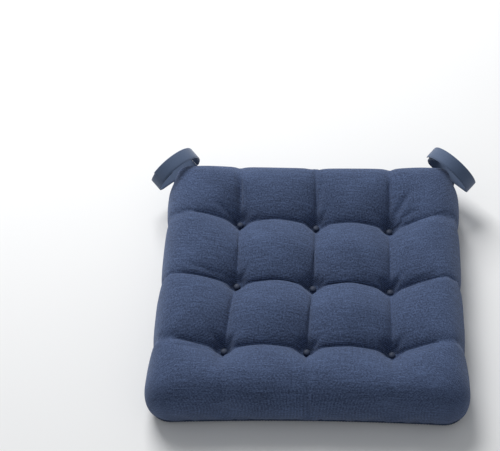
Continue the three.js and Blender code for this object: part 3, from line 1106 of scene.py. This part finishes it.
def ribbon(name, line, width, thickness, columns=8, crown=0.0):
    # A band drawn out along a line: a strip whose far edge is extruded from point to point.
    bpy.ops.object.select_all(action="DESELECT")
    bpy.ops.mesh.primitive_grid_add(x_subdivisions=columns, y_subdivisions=1, size=1)
    bpy.ops.object.mode_set(mode="EDIT")
    strip = bmesh.from_edit_mesh(bpy.context.object.data)
    for vertex in strip.verts:
        point = line[0] if vertex.co.y < 0 else line[1]
        vertex.co = (vertex.co.x * width, point[0], point[1])
    bmesh.update_edit_mesh(bpy.context.object.data)
    for before, after in zip(line[1:], line[2:]):
        pickLastEdge(before)
        extrudeBy((0, after[0] - before[0], after[1] - before[1]))
    bpy.ops.object.mode_set(mode="OBJECT")
    piece = bpy.context.object
    piece.name = name
    mesh = piece.data
    mesh.name = name
    for vertex in mesh.vertices:              # the edges roll over a little
        share = abs(vertex.co.x) / (width / 2)
        vertex.co -= vertex.normal * (crown * share ** 4)
    thicken = piece.modifiers.new("thickness", "SOLIDIFY")
    thicken.thickness = thickness
    thicken.offset = 0
    edge = piece.modifiers.new("edges", "BEVEL")
    edge.width = thickness * 0.28
    edge.segments = 2
    edge.limit_method = "ANGLE"
    edge.angle_limit = math.radians(50)
    applyAll(piece)
    shadeSmooth(piece)
    return piece


def pickLastEdge(point):                      # in edit mode: selects the edges at a point of the line
    bpy.ops.mesh.select_mode(type="EDGE")
    bpy.ops.mesh.select_all(action="DESELECT")
    mesh = bmesh.from_edit_mesh(bpy.context.object.data)
    for edge in mesh.edges:
        edge.select = all(math.dist(vertex.co.yz, point) < 1e-6 for vertex in edge.verts)
    bmesh.update_edit_mesh(bpy.context.object.data)


def alongLine(line, start, end, pitch, rise):
    # Places at even steps along a line, with directions, on one face of the band.
    lengths = [0.0]
    for before, after in zip(line, line[1:]):
        lengths.append(lengths[-1] + math.dist(before, after))
    ys = [point[0] for point in line]
    zs = [point[1] for point in line]
    found = []
    count = max(1, int((lengths[-1] - start - end) / pitch))
    for i in range(count + 1):
        at = start + (lengths[-1] - start - end) * i / count
        y = np.interp(at, lengths, ys)
        z = np.interp(at, lengths, zs)
        aheadY = np.interp(min(at + 0.4 * mm, lengths[-1]), lengths, ys)
        aheadZ = np.interp(min(at + 0.4 * mm, lengths[-1]), lengths, zs)
        backY = np.interp(max(at - 0.4 * mm, 0), lengths, ys)
        backZ = np.interp(max(at - 0.4 * mm, 0), lengths, zs)
        along = Vector((0, aheadY - backY, aheadZ - backZ)).normalized()
        normal = Vector((1, 0, 0)).cross(along)
        found.append((Vector((0, y, z)) + normal * rise, along, normal))
    return found


def hemStitches(name, line, width, rise, crown=0.0):
    # Two rows of stitches, one along each edge, and a short row across each end.
    stitch = makeStitch(strap["stitchLength"], strap["stitchRadius"])
    inset = strap["stitchInset"]
    half = width / 2 - inset
    matrices = []
    for place, along, normal in alongLine(line, inset, inset, strap["stitchPitch"], rise):
        for side in (-half, half):
            sink = normal * crown * (half / (width / 2)) ** 4 * (1 if rise > 0 else -1)
            matrices.append(standAlong(place - sink + Vector((side, 0, 0)), along, normal))
    ends = alongLine(line, inset, inset, 1.0, rise)
    across = int(2 * half / strap["stitchPitch"])
    for place, along, normal in (ends[0], ends[-1]):
        for i in range(1, across):
            shift = Vector((-half + 2 * half * i / across, 0, 0))
            matrices.append(standAlong(place + shift, (1, 0, 0), normal))
    return layCopies(name, stitch, matrices)


def makeHook(height, radius):                 # one hook of the closure: a thread bent over at its tip
    bpy.ops.object.select_all(action="DESELECT")
    bpy.ops.mesh.primitive_cylinder_add(vertices=4, radius=radius, depth=height * 0.5,
                                        location=(0, 0, height * 0.25))
    bpy.ops.object.transform_apply()
    bpy.ops.object.mode_set(mode="EDIT")
    pickFaces(lambda face: face.normal.z > 0.9)
    for shift, rise in ((0.08, 0.28), (0.22, 0.14), (0.24, -0.06)):
        extrudeBy((shift * height, 0, rise * height), 0.92)
    bpy.ops.object.mode_set(mode="OBJECT")
    return bpy.context.object


def makePile(name, line, height, face):       # rows of hooks or loops standing on one face of a tape
    draw = random.Random(7 if face > 0 else 11)
    hook = makeHook(height, 0.11 * mm)
    pitch = strap["hookPitch"]
    count = int((strap["tapeWidth"] - 2 * mm) / pitch)
    matrices = []
    for place, along, normal in alongLine(line, 0.8 * mm, 0.8 * mm, pitch, 0):
        for i in range(count + 1):
            shift = -count * pitch / 2 + i * pitch + draw.uniform(-0.2, 0.2) * mm
            lean = along if i % 2 else -along
            matrices.append(standAlong(place + Vector((shift, 0, 0)), normal * face, lean))
    return layCopies(name, hook, matrices)


def cornerFrames(side):
    # The loop's own frame (across, along the corner, up the loop) and the stem's.
    sign = 1 if side == "right" else -1
    inner = pad["rearRadius"] * (1 - math.sqrt(0.5))
    corner = Vector((centre[0] + sign * (halfWidth - inner), centre[1] + halfDepth - inner, 0))
    out = Vector((sign, 1, 0)).normalized()
    along = Vector((0, 0, 1)).cross(out)
    up = Vector((0, 0, 1))
    across = out * math.cos(strap["lean"]) + up * math.sin(strap["lean"])
    rise = up * math.cos(strap["lean"]) - out * math.sin(strap["lean"])
    loop = Matrix((across, along, rise)).transposed().to_4x4()
    loop.translation = corner + out * strap["offset"] + up * strap["chordLevel"]
    stem = Matrix((-along, out, up)).transposed().to_4x4()
    stem.translation = corner
    return loop, stem


def placePiece(piece, matrix):
    piece.data.transform(matrix)
    piece.data.update()
    return piece


def makeStrap(side):
    loop, stem = cornerFrames(side)
    width = strap["width"]
    thickness = strap["thickness"]
    middle = strap["archCentre"]
    step = (thickness + strap["tapeThickness"]) / 2 + strap["gap"]
    hookRadius = strap["archRadius"] - step
    loopRadius = hookRadius - strap["tapeThickness"] - strap["gap"]
    closureRadius = loopRadius - step
    foldAngle = math.radians(strap["archEnd"])
    foldArm = strap["archRadius"] - strap["foldRadius"]
    foldCentre = (middle[0] + foldArm * math.cos(foldAngle), middle[1] + foldArm * math.sin(foldAngle))
    body = f"{side}_strap"
    flapBody = f"{side}_flap"
    crown = strap["edgeRoll"]

    # flap: over the arch from the free end, then round the fold to the straight run
    archLine = arc(middle, strap["archRadius"], strap["archStart"], strap["archEnd"], 44)
    foldLine = arc(foldCentre, strap["foldRadius"], strap["archEnd"], 268, 9)[1:]
    flap = ribbon(f"{side}StrapFlap", archLine + foldLine, width, thickness, crown=-crown)
    placePiece(flap, loop)
    dress(flap, strapFinish, None, "strap", f"{side}_strap_flap")
    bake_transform(flap)
    stitches = hemStitches(f"{side}FlapStitches", archLine[:-3], width, -thickness / 2, crown)
    dress(placePiece(stitches, loop), threadFinish, flapBody, "thread")

    # base: the straight run, then up and round inside the flap's free end
    turnCentre = (middle[0] + closureRadius - middle[1], middle[1])
    flatRun = [(foldCentre[0] + (turnCentre[0] - foldCentre[0]) * i / 10, 0) for i in range(10)]
    baseLine = flatRun + arc(turnCentre, middle[1], -90, 0, 8) \
        + arc(middle, closureRadius, 0, strap["tapeStart"] + strap["tapeSpan"], 18)[1:]
    base = ribbon(f"{side}StrapBase", baseLine, width, thickness)
    dress(placePiece(base, loop), strapFinish, body, "strap", f"{side}_strap_base")
    stitches = hemStitches(f"{side}BaseStitches", baseLine, width, thickness / 2)
    dress(placePiece(stitches, loop), threadFinish, body, "thread")

    # tapes: a thin backing with its pile facing the other tape
    backing = strap["backing"]
    for name, radius, face, rides in (("hook", hookRadius, 1, flapBody), ("loop", loopRadius, -1, body)):
        outer = radius + face * (strap["tapeThickness"] - backing) / 2
        line = arc(middle, outer, strap["tapeStart"], strap["tapeStart"] + strap["tapeSpan"], 12)
        tape = ribbon(f"{side}{name.title()}Tape", line, strap["tapeWidth"], backing, columns=4)
        dress(placePiece(tape, loop), pileFinish, rides, "tape", f"{side}_{name}_tape")
        pileLine = arc(middle, outer - face * backing / 2, strap["tapeStart"],
                       strap["tapeStart"] + strap["tapeSpan"], 12)
        pile = makePile(f"{side}{name.title()}Pile", pileLine, strap["tapeThickness"] - backing, face)
        dress(placePiece(pile, loop), pileFinish, rides, "tape")

    # stem: out of the seam, up over the bulge and flat under the straight run
    slope = math.tan(strap["lean"])
    under = strap["chordLevel"] - (thickness + strap["gap"]) / math.cos(strap["lean"])

    def underRun(reach):
        return under + (reach - strap["offset"]) * slope

    anchorLow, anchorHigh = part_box(f"{side}_strap_anchor")
    seatZ = (anchorLow[2] + anchorHigh[2]) / 2
    stemLine = [(-12.9 * mm, seatZ), (-8 * mm, seatZ), (-4.2 * mm, seatZ), (-1.6 * mm, seatZ + 1.0 * mm),
                (0.3 * mm, seatZ + 3.4 * mm), (1.3 * mm, seatZ + 7 * mm), (1.5 * mm, seatZ + 14 * mm),
                (1.6 * mm, seatZ + 21.4 * mm), (1.8 * mm, 35 * mm), (2.1 * mm, underRun(2 * mm) - 2.6 * mm),
                (3.4 * mm, underRun(3.4 * mm) - 0.2 * mm), (7 * mm, underRun(7 * mm)),
                (12 * mm, underRun(12 * mm)), (17.5 * mm, underRun(17.5 * mm))]
    stemBand = ribbon(f"{side}StrapStem", stemLine, width, thickness)
    placePiece(stemBand, stem)
    dress(stemBand, strapFinish, None, "strap", f"{side}_strap_stem", f"{side}_strap_anchor")
    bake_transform(stemBand)


for side in ("right", "left"):
    makeStrap(side)
print("straps made")
